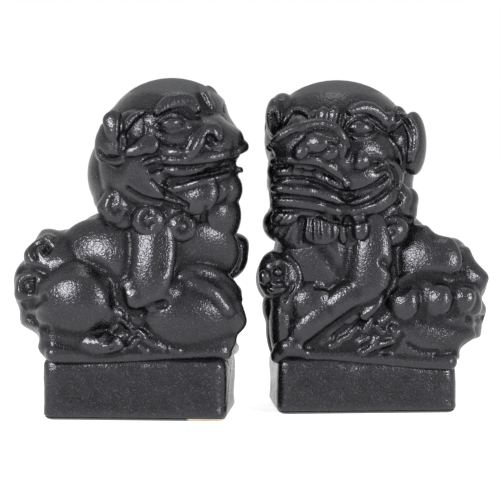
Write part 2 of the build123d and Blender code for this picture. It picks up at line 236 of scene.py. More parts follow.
class Clay:
    """A clay surface in millimetres that is built up, fused and then worked with strokes.

    The words name the lion's CAD nodes that it stands for."""

    def __init__(self, name, lion, words, mirror=None, grow=GROWTH, reshaped=()):
        self.name = name
        self.body = lion + "_lion"
        self.nodes = [lion + "_" + word for word in words]
        self.mirror = mirror
        self.corners = []
        self.faces = []
        self.count = 0
        for word, node in zip(words, self.nodes):
            if word not in reshaped:
                self.add(*cad_clay(node, grow))
        self.feel()

    def feel(self):
        """Renews the tree that finds the clay, so that later lumps sit on the earlier ones."""
        self.tree = BVHTree.FromPolygons(
            np.vstack(self.corners).tolist(), np.vstack(self.faces).tolist()
        )

    def add(self, corners, faces):
        self.corners.append(corners)
        self.faces.append(faces + self.count)
        self.count += len(corners)

    def touch(self, pixel):
        """The spot of the clay that a pixel of the photograph shows, and its normal.

        A sight line that misses the clay gives its own point that is nearest to it."""
        ray = Vector(sight(pixel))
        start = Vector(camera_spot)
        spot, normal, _, _ = self.tree.ray_cast(start, ray)
        if spot is None:
            best = None
            for depth in TRIED_DEPTHS:
                point = start + ray * depth
                _, normal, _, distance = self.tree.find_nearest(point)
                if best is None or distance < best[0]:
                    best = (distance, point, normal)
            spot, normal = best[1], best[2]
        return np.array(spot), np.array(normal)

    def at_depth(self, pixel, depth):
        """The spot at which a pixel's sight line reaches a depth, a y place in millimetres."""
        return camera_spot + sight(pixel) * (depth - camera_spot[1]) / sight(pixel)[1]

    def egg(self, pixel, size, roll=0.0, lift=0.0, both=False, depth=None, face=(0, 0), ball=FINE_BALL):
        """A lump centred at a depth or on the clay a pixel shows; size is width, height, depth.

        Its flat side faces an azimuth and an elevation in degrees, and it is lifted that way."""
        azimuth, elevation = radians(face[0]), radians(face[1])
        across = np.array((cos(azimuth), sin(azimuth), 0.0))
        out = np.array((sin(azimuth) * cos(elevation), -cos(azimuth) * cos(elevation), sin(elevation)))
        centre = self.touch(pixel)[0] + out * lift if depth is None else self.at_depth(pixel, depth)
        over = np.cross(out, across)
        turn = radians(roll)
        right = cos(turn) * across + sin(turn) * over
        up = -sin(turn) * across + cos(turn) * over
        axes = np.stack((right * size[0] / 2, up * size[1] / 2, -out * size[2] / 2))
        corners = ball[0] @ axes + centre
        self.add(corners, ball[1])
        if both:
            self.add(self.mirror.reflect(corners), ball[1][:, ::-1])

    def eggs(self, *rows, both=False):
        """Lumps at depths; a row is (pixel, size, depth), and perhaps the way it faces and its roll."""
        for pixel, size, depth, *rest in rows:
            self.egg(pixel, size, depth=depth, both=both, **dict(zip(("face", "roll"), rest)))

    def dabs(self, face, *rows):
        """Lumps on the clay that face one way; a row is (pixel, size, lift), perhaps with its roll."""
        for pixel, size, lift, *roll in rows:
            self.egg(pixel, size, *(roll or [0.0]), lift, face=face)

    def band(self, pixels, widths, thick, lift=0.0, face=(0, 0), both=False):
        """A flat-topped strip of clay along pixels, whose flat side faces one way."""
        line = curve_through(pixels, BAND_STEP)
        for k, (pixel, breadth) in enumerate(zip(line, spread(widths, len(line)))):
            run = line[min(k + 1, len(line) - 1)] - line[max(k - 1, 0)]
            roll = degrees(atan2(-run[1], run[0]))
            size = (max(breadth, SHORTEST_PLATE), breadth, thick)
            self.egg(pixel, size, roll, lift, both, face=face, ball=BAND_BALL)

    def roll(self, pixels, radii, lift=0.0, depth=None):
        """A roll of clay along pixels, with radii (and depths from end to end) that run along it."""
        if depth is None:
            spots = [self.touch(pixel) for pixel in pixels]
            line = np.array([spot + normal * lift for spot, normal in spots])
        else:
            depths = np.linspace(*depth, len(pixels))
            line = np.array([self.at_depth(pixel, d) for pixel, d in zip(pixels, depths)])
        line = curve_through(line, max(THINNEST_ROLL, min(radii)) * ROLL_STEP)
        radius = spread(radii, len(line))
        corners = (SMALL_BALL[0][None] * radius[:, None, None] + line[:, None]).reshape(-1, 3)
        shift = np.arange(len(line)) * len(SMALL_BALL[0])
        faces = (SMALL_BALL[1][None] + shift[:, None, None]).reshape(-1, 3)
        self.add(corners, faces)

    def fuse(self, grid, passes):
        """All the clay becomes one closed surface, with its creases filled a little."""
        mesh = remeshed(mesh_from(self.name, np.vstack(self.corners), np.vstack(self.faces)), grid)
        self.mesh = mesh
        self.spots = told(mesh.vertices, "co").astype(float)
        self.edges = told(mesh.edges, "vertices", 2, np.int32)
        self.degree = np.bincount(self.edges.ravel(), minlength=len(self.spots)).astype(float)
        self.smooth(passes)

    def average(self, values):
        """The mean of each spot's neighbours."""
        out = np.zeros_like(values)
        a, b = self.edges.T
        for k in range(values.shape[1]):
            out[:, k] = np.bincount(a, weights=values[b, k], minlength=len(values))
            out[:, k] += np.bincount(b, weights=values[a, k], minlength=len(values))
        return out / np.maximum(self.degree, 1)[:, None]

    def smooth(self, passes, where=None):
        """Evens the clay out, more where the mask is higher."""
        for _ in range(passes):
            step = self.average(self.spots) - self.spots
            self.spots += EASE * (step if where is None else step * where[:, None])
        self.settle()

    def settle(self):
        """Hands the moved spots to the mesh and renews its normals and search tree."""
        self.mesh.vertices.foreach_set("co", self.spots.astype(np.float32).ravel())
        self.mesh.update()
        self.normals = told(self.mesh.vertex_normals, "vector")
        helper = placed("helper", self.mesh)
        bpy.context.view_layer.update()
        self.tree = BVHTree.FromObject(helper, bpy.context.evaluated_depsgraph_get())
        bpy.data.objects.remove(helper)

    def lay(self, pixels):
        """The smooth line on the clay that runs through pixels, with its normals."""
        found = [self.touch(pixel) for pixel in curve_through(pixels, STROKE_STEP)]
        return np.array([spot for spot, _ in found]), np.array([normal for _, normal in found])

    def snap(self, points):
        """The spots of the clay nearest to points, with their normals."""
        found = [self.tree.find_nearest(Vector(point)) for point in points]
        return np.array([f[0] for f in found]), np.array([f[1] for f in found])

    def work(self, *strokes):
        """Each stroke is (height, width, pixels): a ridge, or with a negative height a groove.

        A crisp stroke has a sharp middle, and one on both sides is mirrored."""
        moves = np.zeros(len(self.spots))
        for height, width, pixels, *style in strokes:
            style = " ".join(style)
            lines = [self.lay(pixels)]
            if "both" in style:
                lines.append(self.snap(self.mirror.reflect(lines[0][0])))
            for line, facing in lines:
                self.press(moves, line, facing, height, width, "crisp" in style)
        self.spots += moves[:, None] * self.normals
        self.settle()

    def press(self, moves, line, facing, height, width, crisp):
        """Adds to the moves what one stroke does to the spots near it that face as it does."""
        reach = width / 2
        low, high = line.min(0) - reach, line.max(0) + reach
        near = np.nonzero(np.all((self.spots > low) & (self.spots < high), 1))[0]
        if not len(near):
            return
        spots = self.spots[near]
        best = np.full(len(near), FAR)
        nearest = np.zeros(len(near), int)
        if len(line) == 1:
            best = np.linalg.norm(spots - line[0], axis=1)
        for k in range(len(line) - 1):
            a, span = line[k], line[k + 1] - line[k]
            t = np.clip((spots - a) @ span / max(span @ span, NO_LENGTH), 0, 1)
            distance = np.linalg.norm(spots - a - t[:, None] * span, axis=1)
            closer = distance < best
            best[closer] = distance[closer]
            nearest[closer] = k
        share = np.clip(best / reach, 0, 1)
        profile = (1 - share) ** 2 * (1 + share) if crisp else (1 - share**2) ** 2
        agree = np.clip(FADE * np.einsum("ij,ij->i", self.normals[near], facing[nearest]), 0, 1)
        moves[near] += height * profile * agree

    def shift(self, *moves):
        """Clay pushed along the picture: each move is (pixel, shift in pixels, reach in pixels)."""
        seen = in_picture(self.spots)
        pixel_size = np.linalg.norm(self.spots - camera_spot, axis=1) / focal_pixels
        for pixel, (right, down), reach in moves:
            share = np.clip(np.linalg.norm(seen - pixel, axis=1) / reach, 0, 1)
            weight = (1 - share**2) ** 2 * pixel_size
            self.spots += weight[:, None] * (right * sight_right - down * sight_up)
        self.settle()

    def ripple(self, height, size, seed, where):
        """Uneven clay under a mask: a soft noise of the given height and size in millimetres."""
        start = Vector((seed, seed * 0.7, seed * 1.3))
        bumps = np.array([noise.noise(Vector(s) / size + start) for s in self.spots]) * where
        self.spots += (height * bumps)[:, None] * self.normals
        self.settle()

    def mask(self, name, values):
        made = self.mesh.attributes.new(name, "FLOAT", "POINT")
        made.data.foreach_set("value", values.astype(np.float32))

    def matt_crown_painted_lighter(self, lion):
        """A mask of the top of the skull, where the glaze is thin and matt and is painted a lighter grey
        that stands for light from above.
        """
        low, high = (np.array(corner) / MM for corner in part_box(lion + "_skull"))
        share = (self.spots[:, 2] - (low[2] + high[2]) / 2) / (high[2] - low[2]) * 2
        self.mask("crown", np.clip((share - CROWN_START) / CROWN_FADE, 0, 1))

    def mark_ridges(self, most):
        """A mask of how far each spot stands proud of (or lies below) the clay around it, by which the
        glaze paints shade into creases and sheen onto ridges.
        """
        smoothed = self.spots.copy()
        for _ in range(RIDGE_PASSES):
            smoothed += EASE * (self.average(smoothed) - smoothed)
        proud = np.einsum("ij,ij->i", self.spots - smoothed, self.normals)
        self.mask("ridge", np.clip(proud / most, -1, 1))

    def fire(self, material, relief=0.3):
        """The finished piece, riding on its body in place of its CAD nodes."""
        self.mark_ridges(relief)
        self.mesh.vertices.foreach_set("co", (self.spots * MM).astype(np.float32).ravel())
        self.mesh.update()
        self.mesh.polygons.foreach_set("use_smooth", np.ones(len(self.mesh.polygons), bool))
        self.mesh.polygons.foreach_set("material_index", np.zeros(len(self.mesh.polygons), np.int32))
        piece = placed(self.name, self.mesh)
        self.mesh.materials.clear()
        self.mesh.materials.append(material)
        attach(piece, self.body)
        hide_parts(*self.nodes)


# Materials


class Paint:
    """A node material, put together link by link."""

    def __init__(self, name):
        self.material = bpy.data.materials.new(name)
        self.material.use_nodes = True
        self.tree = self.material.node_tree
        self.shader = self.tree.nodes["Principled BSDF"]
        self.place = self.node("ShaderNodeTexCoord").outputs["Object"]

    def node(self, kind, **inputs):
        made = self.tree.nodes.new(kind)
        for key, value in inputs.items():
            self.feed(made.inputs[key.replace("_", " ")], value)
        return made

    def feed(self, socket, value):
        if isinstance(value, bpy.types.NodeSocket):
            self.tree.links.new(value, socket)
        else:
            socket.default_value = value

    def noise(self, size, detail=3.0, roughness=0.55, distortion=0.0):
        """A cloud pattern whose blobs are about size metres."""
        inputs = dict(Scale=1 / size, Detail=detail, Roughness=roughness, Distortion=distortion)
        return self.node("ShaderNodeTexNoise", Vector=self.place, **inputs).outputs["Fac"]

    def span(self, value, low, high, start=0.0, end=1.0):
        made = self.node("ShaderNodeMapRange")
        made.interpolation_type = "SMOOTHSTEP"
        for socket, number in zip(made.inputs, (value, low, high, start, end)):
            self.feed(socket, number)
        return made.outputs["Result"]

    def sums(self, operation, a, b):
        made = self.tree.nodes.new("ShaderNodeMath")
        made.operation = operation
        self.feed(made.inputs[0], a)
        self.feed(made.inputs[1], b)
        return made.outputs[0]

    def plus(self, a, b, share):
        """The first value and a share of the second."""
        return self.sums("ADD", a, self.sums("MULTIPLY", b, share))

    def mix(self, share, a, b):
        made = self.tree.nodes.new("ShaderNodeMix")
        made.data_type = "RGBA"
        self.feed(made.inputs["Factor"], share)
        self.feed(made.inputs["A"], a)
        self.feed(made.inputs["B"], b)
        return made.outputs["Result"]

    def mask(self, name):
        made = self.tree.nodes.new("ShaderNodeAttribute")
        made.attribute_name = name
        return made.outputs["Fac"]

    def bump(self, height, depth, strength=1.0):
        made = self.node("ShaderNodeBump", Height=height, Distance=depth, Strength=strength)
        return made.outputs["Normal"]

    def set(self, **values):
        for key, value in values.items():
            self.feed(self.shader.inputs[key.replace("_", " ")], value)


def grey(level, tint):
    return (level * tint[0], level * tint[1], level * tint[2], 1.0)


# The sizes of the patterns in the glaze and the depth of its wrinkles, in metres
CLOUDS, WAVES, WRINKLES, GRAINS = 0.012, 0.0026, 0.0008, 0.0006
WRINKLE_DEPTH = 0.00012
# Greys of the glaze where it pools, on most of it, on a matt crown (painted lighter, as light from above)
# and on a foot rim, and their tints
POOL_GREY, SKIN_GREY, CROWN_PAINTED_LIGHT_GREY, RIM_GREY = 0.002, 0.004, 0.038, 0.006
GLAZE_TINT, CROWN_TINT = (0.93, 0.97, 1.15), (0.97, 0.99, 1.05)
SHEEN_TINT = (0.93, 0.92, 1.0, 1.0)
BARE_CLAY = (0.62, 0.52, 0.38, 1.0), (0.80, 0.72, 0.58, 1.0)
# How much light the glaze throws back in its creases, less as painted shade, and on its ridges, more as
# painted sheen
CREASE_SHEEN, RIDGE_SHEEN = 0.20, 0.56


def dark_glaze(name, crown=False, gloss=0.21, speckle=0.024, coarse=1.0):
    """Near-black crinkled glaze: a glossy, finely wrinkled skin with greyer grains in it, with painted
    shade in its creases and painted sheen on its ridges; with crown, its top is matt and painted a lighter
    grey that stands for light from above.

    Gloss is its least roughness, speckle the grey of its grains, and coarse scales its wrinkles."""
    paint = Paint(name)
    broad = paint.noise(CLOUDS, detail=4.0)
    fine = paint.noise(WRINKLES * coarse, detail=0.0, roughness=0.5, distortion=0.6)
    wave = paint.noise(WAVES * coarse, detail=1.5, roughness=0.5, distortion=1.0)
    pools = paint.span(broad, 0.35, 0.7)
    colour = paint.mix(pools, grey(POOL_GREY, GLAZE_TINT), grey(SKIN_GREY, GLAZE_TINT))
    grain = paint.noise(GRAINS, detail=1.0)
    grains = paint.span(paint.plus(grain, wave, 0.2), 0.64, 0.82)
    colour = paint.mix(grains, colour, grey(speckle, GLAZE_TINT))
    rough = paint.span(fine, 0.35, 0.65, gloss + 0.05, gloss)
    relief = paint.plus(fine, wave, 1.2)
    # The matt crown is painted a lighter grey that stands for light from above
    if crown:
        bare = paint.span(paint.plus(paint.mask("crown"), broad, 0.4), 0.45, 0.85)
        colour = paint.mix(bare, colour, grey(CROWN_PAINTED_LIGHT_GREY, CROWN_TINT))
        rough = paint.plus(rough, bare, 0.40)
    normal = paint.bump(relief, WRINKLE_DEPTH * coarse)
    # Painted shade and sheen: the glaze reflects less in its creases and more on its ridges
    crease_shade_and_ridge_sheen = paint.plus(paint.mask("ridge"), grain, 0.5)
    sheen = paint.span(crease_shade_and_ridge_sheen, -0.15, 0.75, CREASE_SHEEN, RIDGE_SHEEN)
    paint.set(Base_Color=colour, Roughness=rough, Normal=normal)
    paint.set(Specular_IOR_Level=sheen, Specular_Tint=SHEEN_TINT)
    return paint.material


def foot_rim(name, bare_from):
    """Glaze that has run down over the foot rim, with bare pale clay beyond a place along X."""
    paint = Paint(name)
    grit = paint.noise(0.0012, detail=4.0)
    clay = paint.mix(grit, *BARE_CLAY)
    along = paint.node("ShaderNodeSeparateXYZ", Vector=paint.place).outputs["X"]
    edge = paint.plus(along, paint.noise(0.004, detail=3.0), 0.012)
    bare = paint.span(edge, bare_from, bare_from + 0.003)
    colour = paint.mix(bare, grey(RIM_GREY, GLAZE_TINT), clay)
    rough = paint.span(bare, 0.0, 1.0, 0.3, 0.85)
    paint.set(Base_Color=colour, Roughness=rough, Normal=paint.bump(grit, 0.00015, strength=0.6))
    return paint.material


def repaint(node, material):
    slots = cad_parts[node].data.materials
    slots.clear()
    slots.append(material)


skin_glaze = dark_glaze("crinkled_glaze")
head_glaze = dark_glaze("crinkled_glaze_matt_crown_painted_lighter", crown=True)
block_glaze = dark_glaze("leathery_glaze", speckle=0.030, coarse=0.8)
ball_glaze = dark_glaze("thick_glaze", gloss=0.2)

HEAD_NODES = "skull muzzle mane jaw upper_lip nose cheeks eyes brows ears mane_curls beard".split()
# The pieces of a head that are laid anew and not copied
RESHAPED = "skull brows eyes nose upper_lip jaw teeth mane_curls beard".split()
BODY_NODES = (
    "torso shoulders rump right_haunch left_haunch hind_legs tail right_upper_arm left_upper_arm "
    "right_forearm left_forearm forepaws rocks"
).split()


def spiral(centre, size, start, turns, inner=0.15, flat=1.0):
    """Pixels along a spiral that winds inward; size is its outer radius in pixels."""
    steps = SPIRAL_STEPS * abs(turns)
    out = []
    for k in range(int(steps) + 1):
        share = k / steps
        angle = radians(start + 360 * turns * share)
        reach = size * (1 - (1 - inner) * share)
        out.append((centre[0] + reach * cos(angle), centre[1] - reach * flat * sin(angle)))
    return out


def facets(*spots):
    """Short ridges and hollows of a hacked rock face; each spot is (x, y, slant, height)."""
    strokes = []
    for x, y, slant, height in spots:
        dx, dy = FACET_REACH * cos(radians(slant)), -FACET_REACH * sin(radians(slant))
        strokes.append((height, FACET_WIDTH, [(x - dx, y - dy), (x, y), (x + dx, y + dy)], "crisp"))
    return strokes


SPIRAL_STEPS = 9  # to one turn
FACET_REACH, FACET_WIDTH = 4.0, 4.6

ROCK_STROKES_LEFT = facets(
    (113, 331, 60, 1.4), (124, 322, -40, 1.4), (131, 329, -45, 1.3), (142, 333, -40, 1.4),
    (122, 337, 35, 0.9), (134, 343, 55, 1.6), (126, 348, 20, 1.3), (114, 342, 50, 1.1),
    (150, 342, -30, 1.2), (160, 347, -25, 0.8), (143, 349, -35, 1.0), (175, 350, -15, 0.9),
    (104, 336, 50, 1.1), (108, 346, 10, 1.0),
)
ROCK_STROKES_RIGHT = facets(
    (352, 320, 35, 1.3), (366, 326, 70, 1.4), (366, 318, -20, 1.2), (380, 329, -50, 1.4),
    (386, 319, 40, 1.2), (362, 341, 30, 1.4), (345, 338, 25, 1.2), (374, 342, 60, 1.0),
    (394, 331, -45, 1.2), (354, 330, 45, 0.8), (388, 343, 20, 1.0), (335, 345, 20, 0.8),
    (368, 351, 25, 1.2), (326, 341, 30, 1.0),
)


def male_head():
    clay = Clay("male_head", "male", HEAD_NODES, Mirror("male_eyes"), reshaped=RESHAPED)
    male_skull(clay)
    male_jaws(clay)
    male_neck_and_beard(clay)
    clay.feel()
    male_brow_and_cheek(clay)
    male_nostril_and_lips(clay)
    male_ear_and_curls(clay)
    clay.fuse(FINE_GRID, passes=12)
    clay.shift(
        ((97, 208), (-3, 0), 12), ((245, 160), (-2, 0), 22), ((110, 170), (3, -9), 20),
        ((236, 114), (-5, 1), 20), ((104, 116), (-4, 0), 16),
    )
    male_head_forms(clay)
    male_head_creases(clay)
    clay.smooth(2)
    clay.matt_crown_painted_lighter("male")
    clay.fire(head_glaze)


def male_skull(clay):
    """Skull, snout and the plane under the eye."""
    clay.egg((172, 138), (61, 54, 54), depth=middle("male_skull")[1])
    clay.eggs(
        ((212, 138), (29, 21, 27), -30, (0, 0), -14), ((229, 144), (14, 18, 18), -26.5),
        ((180, 137), (30, 18, 14), -35, (-6, 0)), ((133, 138), (19, 25, 13), -32.6),
        both=True,
    )


def male_jaws(clay):
    """Upper lip, lower jaw, cheek in one sweep, and chin."""
    clay.eggs(
        ((188, 161), (42, 15, 26), -29, (4, 0)), ((196, 187), (41, 22, 31), -24.5),
        ((132, 174), (36, 37, 18), -31, (-36, -14)), ((160, 164), (20, 12, 10), -34.6),
        ((168, 182), (14, 9, 9), -35), ((164, 196), (30, 16, 14), -31.6, (-8, 0)),
        both=True,
    )
    clay.egg((197, 193), (20, 20, 9), depth=-38.2, face=MALE_SHEEN)
    clay.egg((222, 189), (18, 19, 22), depth=-25, face=(20, 0))


def male_neck_and_beard(clay):
    """Clay behind the curls, the beard, the corner of the mouth and the eyeball."""
    clay.eggs(
        ((132, 206), (24, 18, 14), -28.5), ((124, 220), (16, 12, 14), -28.5),
        ((222, 206), (15, 20, 15), 2), ((210, 224), (15, 15, 13), 0), ((166, 215), (20, 16, 13), -32),
        ((192, 213), (14, 14, 13), -30), ((217, 167), (21, 10, 18), -26),
        ((229, 168), (9.4, 16, 18), -22), ((215, 217), (24, 28, 22), -24, (28, -12)),
    )
    clay.egg((171, 123), (11.5, 7.6, 10), both=True, depth=-38.6)


def male_brow_and_cheek(clay):
    """Brow, lids and the fold of the cheek."""
    clay.band(
        [(159, 112), (165, 106), (173, 102), (182, 101), (190, 103), (197, 109)],
        (4.6, 7.4, 8, 7.4, 5), 4.2, 1, MALE_SHEEN, both=True,
    )
    clay.band(
        [(157, 124), (163, 118), (171, 115), (180, 116), (187, 121)], (1.2, 2.2, 1.4), 2, 0.3, both=True
    )
    clay.band([(157, 127), (164, 130), (174, 131), (185, 127)], (1.2, 1.8, 1.2), 1.8, 0.2, both=True)
    clay.band(
        [(127, 153), (135, 151), (142, 148), (148, 145), (156, 147), (163, 151), (171, 153), (179, 153)],
        (4.6, 6.4, 8.6, 7, 6, 4.4), 4.2, 1.2, MALE_SHEEN, both=True,
    )
    clay.egg((149, 145), (11, 10, 5), lift=1.4, face=MALE_SHEEN, both=True)


def male_nostril_and_lips(clay):
    """Nostril wing, upper lip and lower lip."""
    clay.band(
        [(191, 153), (195, 147), (199, 140), (204, 133), (211, 129), (217, 131), (220, 137)],
        (6.4, 7.6, 6.4, 6.4, 4.4), 4.2, 1.3, MALE_SHEEN,
    )
    clay.band(
        [(147, 163), (158, 160), (172, 159), (187, 159), (204, 158), (220, 156), (234, 154)],
        (3, 5.4, 5.6, 5.2, 3.6), 3.4, 0.5, (-8, 10), both=True,
    )
    clay.band(
        [(160, 185), (171, 189), (183, 187), (197, 183), (212, 179), (226, 175)],
        (2.4, 3.6, 3.6, 3.4, 2.2), 2.4, 0.2, (-10, 10), both=True,
    )


def male_ear_and_curls(clay):
    """Ear, the folds in front of it and the curls under the jaw."""
    clay.egg((115, 126), (9, 15, 6), lift=0.4, face=MALE_SHEEN, both=True)
    clay.band(
        [(143, 113), (136, 116), (130, 122), (126, 131)],
        (2.6, 4, 3.6, 2), 3.4, 1, MALE_SHEEN, both=True,
    )
    clay.eggs(
        ((116, 206), (15, 19, 13), -30.5, MALE_SHEEN), ((149, 221), (16.4, 16.4, 11), -36, (-12, 6)),
        ((181, 227), (15, 14.6, 10), -35.2, (-8, 6)),
    )


def male_head_forms(clay):
    """Soft hollows between brow, eye, snout and cheek."""
    clay.work(
        (-1.2, 10, [(203, 98), (204, 107)]), (-1.4, 6, [(123, 118), (122, 135), (121, 152)]),
        (-0.8, 9, [(143, 128), (140, 136)]), (-1.3, 6, [(209, 138), (212, 142)]),
        (-1, 6, [(188, 148), (193, 138), (199, 129)]), (-0.8, 8, [(160, 160), (152, 168)]),
    )


def male_head_creases(clay):
    """Lips, folds and the windings of the curls."""
    clay.work(
        (-1.2, 4, [(151, 171), (160, 168), (175, 168), (190, 168), (202, 166)], "crisp both"),
        (-0.9, 4, [(172, 179), (187, 178), (200, 176), (215, 173), (230, 168), (237, 166)], "crisp both"),
        (-1.3, 4.2, [(152, 181), (158, 187), (166, 193), (176, 199), (187, 205)], "crisp both"),
        (-1.2, 4.4, [(128, 189), (139, 196), (150, 200), (165, 203), (186, 208)], "crisp both"),
        (-0.8, 2.8, [(158, 126), (163, 120), (171, 117), (181, 118), (187, 122)], "crisp both"),
        (-0.6, 3.6, [(166, 157), (178, 157), (190, 154)], "crisp both"),
        (-1.2, 5, [(99, 152), (106, 159), (115, 160), (123, 156)]),
        (-1.1, 6.4, spiral((150, 222), 9, 100, 0.6)), (-1, 6.2, spiral((181, 228), 8, 80, -0.6)),
        (-0.9, 6.4, spiral((117, 208), 7, 120, 0.5, flat=1.4)),
        (-0.9, 5, [(206, 208), (204, 218), (207, 230)]),
    )


def male_body():
    clay = Clay("male_body", "male", BODY_NODES)
    male_hind_part(clay)
    male_fore_part(clay)
    male_rocks_and_tail(clay)
    clay.fuse(MIDDLE_GRID, passes=30)
    clay.shift(
        ((30, 238), (4, 1), 18), ((18, 300), (-3, 0), 14), ((26, 338), (8, -2), 16),
        ((243, 325), (3, 0), 16),
    )
    male_body_strokes(clay)
    clay.work(*ROCK_STROKES_LEFT)
    clay.smooth(1)
    clay.fire(skin_glaze)


def male_hind_part(clay):
    """Where the clay meets the block, rump and flank turned to the left window, haunch and knee."""
    clay.roll(
        [(54, 354), (100, 355), (150, 354), (200, 353), (223, 353)], (4.4, 4.4, 4.2), depth=(-38, -34)
    )
    clay.roll([(223, 353), (229, 350), (233, 348)], (4.2, 3.6, 3.4), depth=(-34, 2))
    clay.egg((58, 341), (15, 24, 18), depth=-31)
    clay.eggs(
        ((103, 254), (43, 33, 18), -27.8, MALE_SHEEN, -8), ((75, 299), (36, 34, 20), -34.6, (-14, 8)),
        ((103, 300), (13, 28, 14), -36, (-10, 4)), ((74, 334), (34, 22, 14), -34, (-6, 10)),
        ((92, 344), (32, 10, 9), -38.6, MALE_SHEEN),
    )


def male_fore_part(clay):
    """Chest, upper arm, elbow, forearm and the swelling down to the block."""
    clay.eggs(
        ((194, 316), (46, 32, 20), -33, (8, 0)), ((190, 340), (42, 20, 14), -32.6),
        ((198, 253), (38, 34, 16), -27.4, (12, -16)), ((149, 256), (25, 50, 12), -36.2, MALE_SHEEN),
        ((176, 254), (26, 44, 14), -30, (14, -6)), ((115, 312), (15, 24, 15), -32.4),
        ((136, 298), (15.5, 14, 15), -35.4, (-14, 8)), ((163, 292), (26, 16, 14), -35),
    )
    clay.roll(
        [(164, 283), (180, 276), (196, 274), (212, 280), (226, 290), (235, 300)],
        (4, 6, 7.2, 7.4, 6.4, 4), depth=(-33.8, -26),
    )


def male_rocks_and_tail(clay):
    """Mound of rock under the belly, and the lobes of the tail."""
    clay.eggs(
        ((128, 338), (52, 28, 24), -26.5), ((124, 322), (16, 14, 18), -27),
        ((117, 305), (15, 24, 14), -29.5), ((136, 320), (18, 10, 14), -31.5),
        ((140, 342), (30, 14, 14), -33, (-10, 10)), ((40, 256), (15, 18, 14), -22.5),
        ((29, 287), (13, 16, 14), -24.5), ((44, 318), (15, 20, 14), -22),
        ((48, 282), (20, 44, 18), -23.5),
    )


def male_body_strokes(clay):
    clay.work(
        (-1.1, 13, [(46, 276), (60, 270), (80, 267), (98, 271), (110, 284), (117, 300)]),
        (-1.2, 7, [(20, 271), (31, 268), (43, 272)]), (-1.2, 7, [(24, 305), (34, 303), (44, 298)]),
        (-2, 6, [(45, 248), (46, 251)]), (-1.4, 5, spiral((42, 251), 10, 220, -0.6, inner=0.8)),
        (-1.7, 5, spiral((28, 287), 8, 60, 1, inner=0.3)),
        (-1, 6, [(30, 318), (38, 325), (47, 329)]),
        (-1.3, 6, [(120, 292), (122, 304), (130, 311), (142, 311), (152, 306), (164, 304)]),
        (-0.7, 12, [(166, 240), (166, 252), (164, 266)]),
        (-0.7, 10, [(129, 240), (128, 256), (126, 274)]),
        (1.1, 9, [(184, 278), (200, 284), (214, 292), (228, 308)]),
    )


def female_head():
    nodes = HEAD_NODES + ["teeth"]
    clay = Clay("female_head", "female", nodes, Mirror("female_eyes"), reshaped=RESHAPED)
    female_skull(clay)
    female_jaws(clay)
    female_neck(clay)
    clay.feel()
    female_brows_and_eyeballs(clay)
    clay.feel()
    female_lids(clay)
    female_nose(clay)
    female_lips(clay)
    female_ears_and_locks(clay)
    clay.fuse(FINE_GRID, passes=12)
    clay.shift(((260, 200), (6, 2), 16), ((412, 196), (3, 0), 14))
    female_head_forms(clay)
    female_head_creases(clay)
    clay.smooth(2)
    clay.matt_crown_painted_lighter("female")
    clay.fire(head_glaze)


def female_skull(clay):
    """Skull, muzzle dome, cheek and flew."""
    clay.eggs(
        ((337, 141), (67, 56, 54), middle("female_skull")[1]), ((311, 146), (35, 24, 22), -17.4),
        ((285, 157), (14.8, 14, 22), -9), ((368, 153), (30, 22, 19), -10.5, (26, -10)),
        ((366, 178), (26, 18, 16), -15, (14, -14)), ((283, 119), (15, 24, 18), 2),
        ((275, 119), (9, 20, 14), -1.5), ((400, 143), (11, 30, 14), -3.4),
        ((397, 122), (10, 15, 10), -4.5),
    )


def female_jaws(clay):
    """Mouth, chin and jaw."""
    clay.egg((285, 178), (16.3, 44, 24), depth=-7)
    clay.roll([(276, 152), (276, 166), (275, 180), (275, 194), (277, 208)], (3.8, 4, 3.8), depth=(-6, -4))
    clay.eggs(
        ((300, 172), (30, 20, 20), -11.4), ((330, 183), (28, 26, 18), -13),
        ((306, 199), (38, 19, 20), -10.4, (-6, 0)), ((350, 203), (34, 18, 18), -11.4, (8, 0)),
        ((378, 200), (26, 22, 16), -8.4, (24, 0)), ((283, 212), (15, 20, 18), 8),
        ((283, 190), (14, 18, 18), 11),
    )


def female_neck(clay):
    """Tuft, chest and the clay around the curls."""
    clay.eggs(
        ((281, 224), (17, 17, 17), -4.6), ((318, 228), (42, 28, 15), -9, (-4, 0)),
        ((360, 228), (32, 24, 14), -10.4, (6, 0)), ((396, 206), (14, 24, 15), -4.4),
        ((392, 231), (15.4, 15.6, 12), -11, (-8, 8)), ((407, 208), (9.6, 20, 14), -1),
    )


def female_brows_and_eyeballs(clay):
    """Brow with its curled end, the frown, and both eyeballs."""
    clay.band(
        [(352, 112), (359, 109), (367, 109), (375, 112), (382, 117), (386, 123)],
        (4, 6.6, 7.2, 6.2, 4.4), 4.2, 1.5, FEMALE_SHEEN,
    )
    clay.band([(386, 123), (389, 129), (395, 129), (399, 123)], (3, 2.8, 2.2), 2.6, 0.8)
    clay.dabs(
        FEMALE_SHEEN,
        ((390, 120), (6.6, 7.4, 5), 1.2), ((315, 116), (4, 6, 4), 1), ((324, 116), (6.4, 9, 4.4), 1.3),
        ((335, 116), (5.6, 9.6, 4.4), 1.3),
    )
    clay.egg((360, 128), (12.5, 8, 8), lift=-0.4)
    clay.egg((299, 123), (8.4, 6.8, 8), lift=-0.4)


def female_lids(clay):
    clay.band(
        [(343, 129), (349, 121), (357, 117), (365, 119), (373, 125), (379, 130), (386, 133)],
        (1.4, 2.4, 2.4, 1.4), 2.2, 0.4,
    )
    clay.band([(346, 132), (352, 136), (359, 139), (368, 138), (376, 133)], (1.2, 2.2, 1.2), 2, 0.4)
    clay.band([(285, 121), (289, 114), (296, 110), (305, 112), (310, 118)], (2, 3.4, 2), 2.6, 0.6)
    clay.band([(290, 129), (297, 131), (305, 129), (310, 124)], (1.2, 2, 1.2), 2, 0.3)


